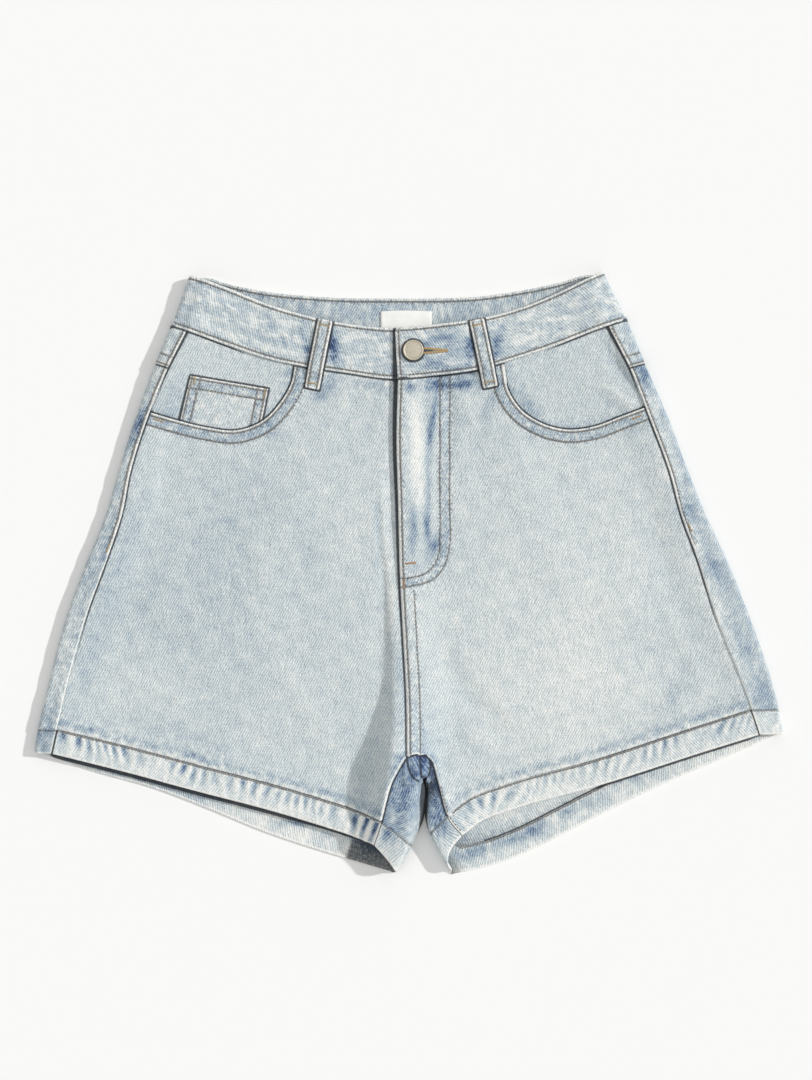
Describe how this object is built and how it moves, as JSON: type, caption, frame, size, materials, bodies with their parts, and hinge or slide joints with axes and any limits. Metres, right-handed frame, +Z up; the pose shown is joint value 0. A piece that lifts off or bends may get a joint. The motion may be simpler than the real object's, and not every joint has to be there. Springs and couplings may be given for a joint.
{
  "type": "denim shorts",
  "caption": "High-waisted denim shorts with flared legs, laid flat with the front up: buttoned fly, curved front pockets, coin pocket and turned-up hems.",
  "frame": {"origin": "middle of the whole garment's bounding box, on the floor that the back rests on", "axes": "+X towards the wearer's left side, +Y towards the waist, +Z up out of the front"},
  "size_m": [0.6117, 0.4924, 0.0246],
  "materials": {
    "washed_denim": "light washed blue cotton twill, matt",
    "facing_denim": "the same washed twill on the pocket facings and coin pocket",
    "hem_denim": "washed twill, puckered and bluer between the faded ridges",
    "label_cloth": "plain white woven tape",
    "button_metal": "antique silver-beige plated tack button, half polished"
  },
  "bodies": {
    "root": {"waistband": "washed_denim", "front_right": "washed_denim", "front_left": "washed_denim", "back_right": "washed_denim", "back_left": "washed_denim", "yoke_right": "washed_denim", "yoke_left": "washed_denim", "belt_loop_right": "washed_denim", "belt_loop_left": "washed_denim", "pocket_facing_right": "facing_denim", "pocket_facing_left": "facing_denim", "coin_pocket": "facing_denim", "hem_right": "hem_denim", "hem_left": "hem_denim", "waist_label": "label_cloth", "button": "button_metal"}
  },
  "joints": []
}
